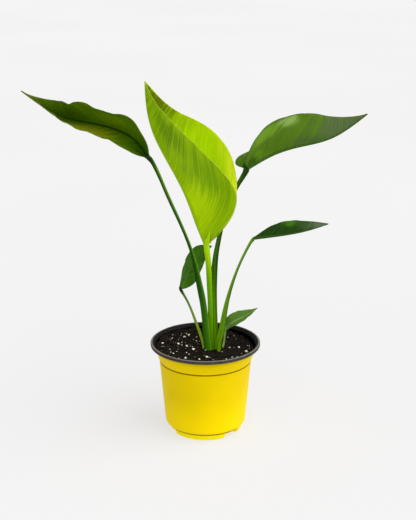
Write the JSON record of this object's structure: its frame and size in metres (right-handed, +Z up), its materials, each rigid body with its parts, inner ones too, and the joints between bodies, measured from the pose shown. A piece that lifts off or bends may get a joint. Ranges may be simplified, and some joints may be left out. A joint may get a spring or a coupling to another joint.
{
  "type": "potted bird of paradise",
  "caption": "Young bird of paradise plant with long-stalked paddle leaves, rooted in peat and perlite in a round plastic nursery pot.",
  "frame": {"origin": "centre of the pot's underside, on the surface it stands on", "axes": "+Z up along the pot's axis, +X towards the large leaf that arches right, -Y towards the viewer of the plant's fan"},
  "size_m": [0.4682, 0.1813, 0.493],
  "materials": {
    "pot": "satin",
    "mix": "matte",
    "rootstock": "matte",
    "blade_left": "satin",
    "blade_centre": "satin",
    "blade_right": "satin",
    "blade_lower_right": "satin",
    "blade_lower_left": "satin",
    "blade_small_right": "satin",
    "petiole_left": "satin",
    "petiole_centre": "satin",
    "petiole_right": "satin",
    "petiole_lower_right": "satin",
    "petiole_lower_left": "satin",
    "petiole_small_right": "satin",
    "perlite": "matte",
    "bark": "matte"
  },
  "bodies": {
    "root": {"pot": "pot", "potting_mix": "mix", "rootstock": "rootstock", "petiole_centre": "petiole_centre", "petiole_left": "petiole_left", "petiole_lower_left": "petiole_lower_left", "petiole_lower_right": "petiole_lower_right", "petiole_right": "petiole_right", "petiole_small_right": "petiole_small_right", "blade_centre": "blade_centre", "blade_left": "blade_left", "blade_lower_left": "blade_lower_left", "blade_lower_right": "blade_lower_right", "blade_right": "blade_right", "blade_small_right": "blade_small_right", "bark_00": "bark", "bark_01": "bark", "bark_02": "bark", "perlite_00": "perlite", "perlite_01": "perlite", "perlite_02": "perlite", "perlite_03": "perlite", "perlite_04": "perlite", "perlite_05": "perlite", "perlite_06": "perlite", "perlite_07": "perlite", "perlite_08": "perlite", "perlite_09": "perlite", "perlite_10": "perlite", "perlite_11": "perlite", "perlite_12": "perlite", "perlite_13": "perlite"}
  },
  "joints": []
}
